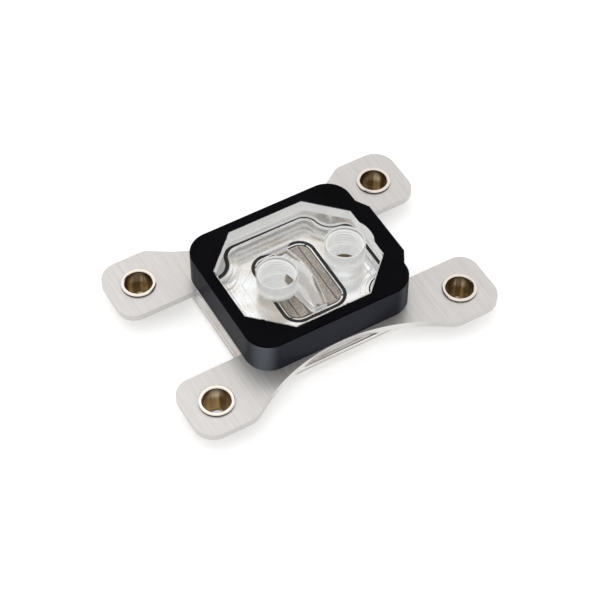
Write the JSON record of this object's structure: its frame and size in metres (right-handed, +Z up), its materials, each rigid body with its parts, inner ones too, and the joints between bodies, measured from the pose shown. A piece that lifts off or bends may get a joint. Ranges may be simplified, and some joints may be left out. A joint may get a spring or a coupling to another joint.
{
  "type": "liquid cooling cold plate",
  "caption": "Liquid cooling cold plate with a clear flow chamber, black frame, micro-finned nickel-plated base and a steel bracket with four sprung-screw bushings.",
  "frame": {"origin": "centre of the cold plate's flat contact face, on its underside", "axes": "+Z up, out of the contact face towards the ports; +X along the long spacing of the bracket's holes, towards the outlet port; +Y along the short spacing, towards the back"},
  "size_m": [0.1112, 0.0772, 0.0206],
  "materials": {
    "nickel_plate": "nickel plated copper, satin",
    "seal_rubber": "matte",
    "clear_acrylic": "polished clear acrylic",
    "black_frame": "black satin",
    "brushed_steel": "brushed lengthwise",
    "bushing_nickel": "nickel plated brass, polished",
    "screw_steel": "black oxide"
  },
  "bodies": {
    "root": {"cold_plate": "nickel_plate", "inner_seal": "seal_rubber", "outer_seal": "seal_rubber", "clear_top": "clear_acrylic", "top_frame": "black_frame", "mounting_bracket": "brushed_steel", "bushing_1": "bushing_nickel", "bushing_2": "bushing_nickel", "bushing_3": "bushing_nickel", "bushing_4": "bushing_nickel", "screw_1": "screw_steel", "screw_2": "screw_steel", "screw_3": "screw_steel", "screw_4": "screw_steel"}
  },
  "joints": []
}
